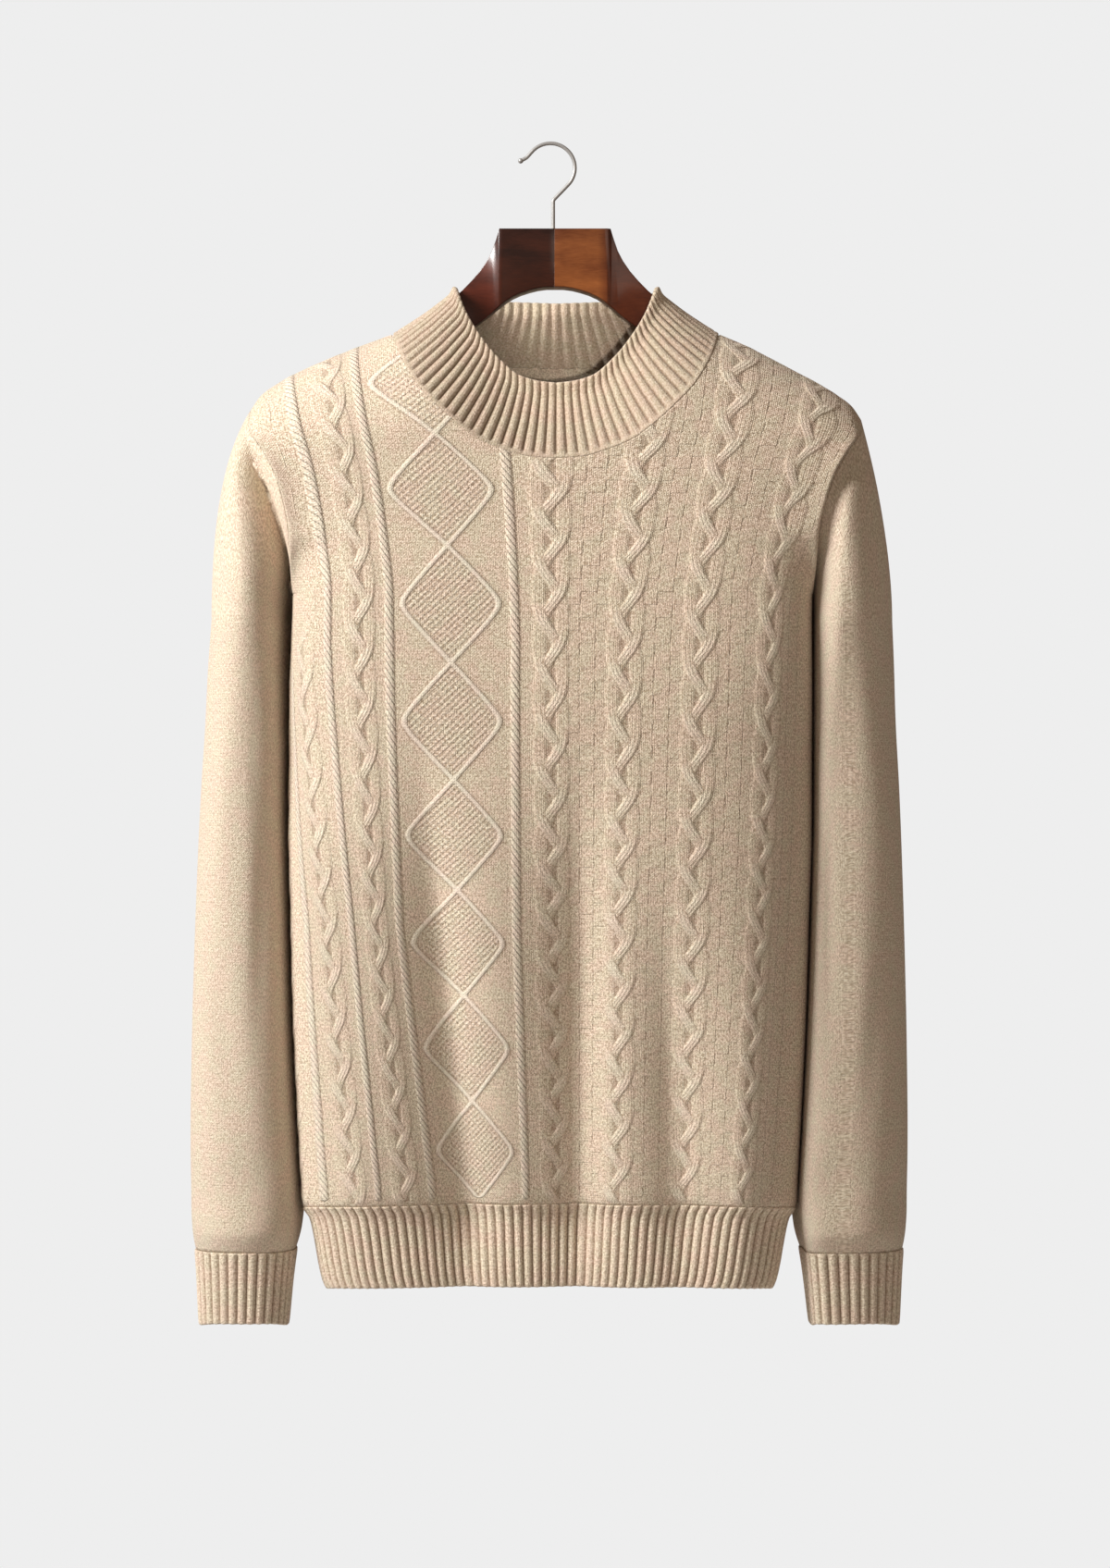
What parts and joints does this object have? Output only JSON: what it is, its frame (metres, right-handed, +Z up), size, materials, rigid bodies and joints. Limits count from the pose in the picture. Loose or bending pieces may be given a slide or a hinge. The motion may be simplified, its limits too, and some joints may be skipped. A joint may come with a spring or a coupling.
{
  "type": "mock neck sweater on wooden hanger",
  "caption": "Cable-knit pullover with a ribbed mock neck, long sleeves and ribbed bands, hanging on a contoured wooden hanger with a wire hook.",
  "frame": {"origin": "inside of the hook's crown, where a wardrobe rod bears", "axes": "+Z up, -Y out of the front of the sweater, +X towards the wearer's left arm"},
  "size_m": [0.5116, 0.16, 0.8441],
  "materials": {
    "cable_knit": "soft brushed melange wool, cable pattern",
    "plain_knit": "soft brushed melange wool, plain knit",
    "rib_knit": "soft melange wool, one by one rib",
    "hanger_wood": "dark red-brown stain under gloss lacquer",
    "hook_wire": "bright plated wire"
  },
  "bodies": {
    "root": {"front_panel": "cable_knit", "back_panel": "plain_knit", "sleeve_right_head": "plain_knit", "sleeve_right": "plain_knit", "sleeve_left_head": "plain_knit", "sleeve_left": "plain_knit", "collar": "rib_knit", "hem_front": "rib_knit", "hem_back": "rib_knit", "cuff_right": "rib_knit", "cuff_left": "rib_knit", "hanger_right_half": "hanger_wood", "hanger_left_half": "hanger_wood", "hook": "hook_wire"}
  },
  "joints": []
}
